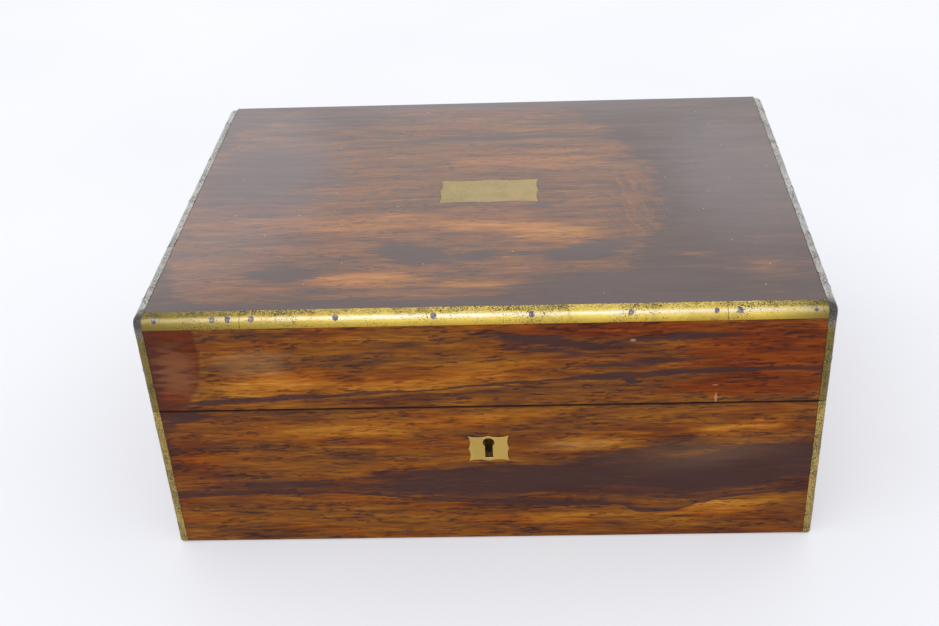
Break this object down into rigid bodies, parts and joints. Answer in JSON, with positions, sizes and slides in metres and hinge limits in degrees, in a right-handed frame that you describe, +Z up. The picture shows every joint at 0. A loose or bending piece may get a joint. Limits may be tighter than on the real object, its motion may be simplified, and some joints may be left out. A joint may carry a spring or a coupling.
{
  "type": "brass-bound rosewood box",
  "caption": "Low wooden box with a hinged lid, brass edging, inlaid lid plate and keyhole escutcheon, a box lock and a velvet-lined lift-out tray.",
  "frame": {"origin": "centre of the underside, on the surface that the box stands on", "axes": "+X to the box's right seen from the front, -Y out of the front with the keyhole, +Z up"},
  "size_m": [0.305, 0.229, 0.128],
  "materials": {
    "rosewood_veneer": "french polished, worn",
    "mahogany_board": "planed, bare",
    "edging_brass": "solid strip, tarnished and pitted",
    "inlay_brass": "sheet, dull and scratched",
    "fitting_brass": "cast and filed, dull",
    "steel": "blued and rubbed",
    "velvet": "silk velvet, faded",
    "tray_wood": "polished",
    "ribbon": "silk ribbon",
    "baize": "wool baize, worn"
  },
  "bodies": {
    "base": {"base_back_board": "mahogany_board", "base_back_veneer": "rosewood_veneer", "base_corner_strip_back_left": "edging_brass", "base_corner_strip_back_right": "edging_brass", "base_corner_strip_front_left": "edging_brass", "base_corner_strip_front_right": "edging_brass", "base_edging_pins": "steel", "base_floor_lining": "velvet", "base_front_board": "mahogany_board", "base_front_veneer": "rosewood_veneer", "base_hinge_screws": "steel", "base_left_board": "mahogany_board", "base_left_veneer": "rosewood_veneer", "base_right_board": "mahogany_board", "base_right_veneer": "rosewood_veneer", "base_rim_facings": "rosewood_veneer", "base_wall_linings": "velvet", "bolt_guide_studs": "steel", "bottom_board": "mahogany_board", "escutcheon": "inlay_brass", "hinge_base_leaves": "fitting_brass", "hinge_pins": "steel", "lock_case": "steel", "lock_drill_pin": "steel", "lock_plate": "fitting_brass", "lock_screws": "steel", "tray_ledges": "tray_wood", "underside_baize": "baize"},
    "lid": {"hinge_lid_leaves": "fitting_brass", "lid_back_board": "mahogany_board", "lid_back_veneer": "rosewood_veneer", "lid_edging_left": "edging_brass", "lid_edging_pins": "steel", "lid_edging_right": "edging_brass", "lid_front_board": "mahogany_board", "lid_front_strip_left": "edging_brass", "lid_front_strip_middle": "edging_brass", "lid_front_strip_right": "edging_brass", "lid_front_veneer": "rosewood_veneer", "lid_hinge_screws": "steel", "lid_left_board": "mahogany_board", "lid_left_veneer": "rosewood_veneer", "lid_pad": "velvet", "lid_plate": "inlay_brass", "lid_right_board": "mahogany_board", "lid_right_veneer": "rosewood_veneer", "lid_rim_facings": "rosewood_veneer", "lid_top_board": "mahogany_board", "lid_top_veneer": "rosewood_veneer", "lid_wall_linings": "velvet", "link_plate": "fitting_brass", "link_plate_screws": "steel"},
    "tray": {"tray_bottom": "tray_wood", "tray_dividers": "tray_wood", "tray_end_rails": "tray_wood", "tray_linings": "velvet", "tray_long_rails": "tray_wood", "tray_ribbons": "ribbon"},
    "bolt": {"lock_bolt": "steel", "bolt_spring": "steel"}
  },
  "joints": [
    {"name": "lid_hinge", "type": "hinge", "parent": "base", "child": "lid", "pos_m": [0, 0.11135, 0.0788], "axis": [-1, 0, 0], "range_deg": [0, 98]},
    {"name": "tray_lift", "type": "slide", "parent": "base", "child": "tray", "axis": [0, 0, 1], "range_m": [0, 0.03]},
    {"name": "bolt_slide", "type": "slide", "parent": "base", "child": "bolt", "axis": [1, 0, 0], "range_m": [0, 0.004]}
  ]
}
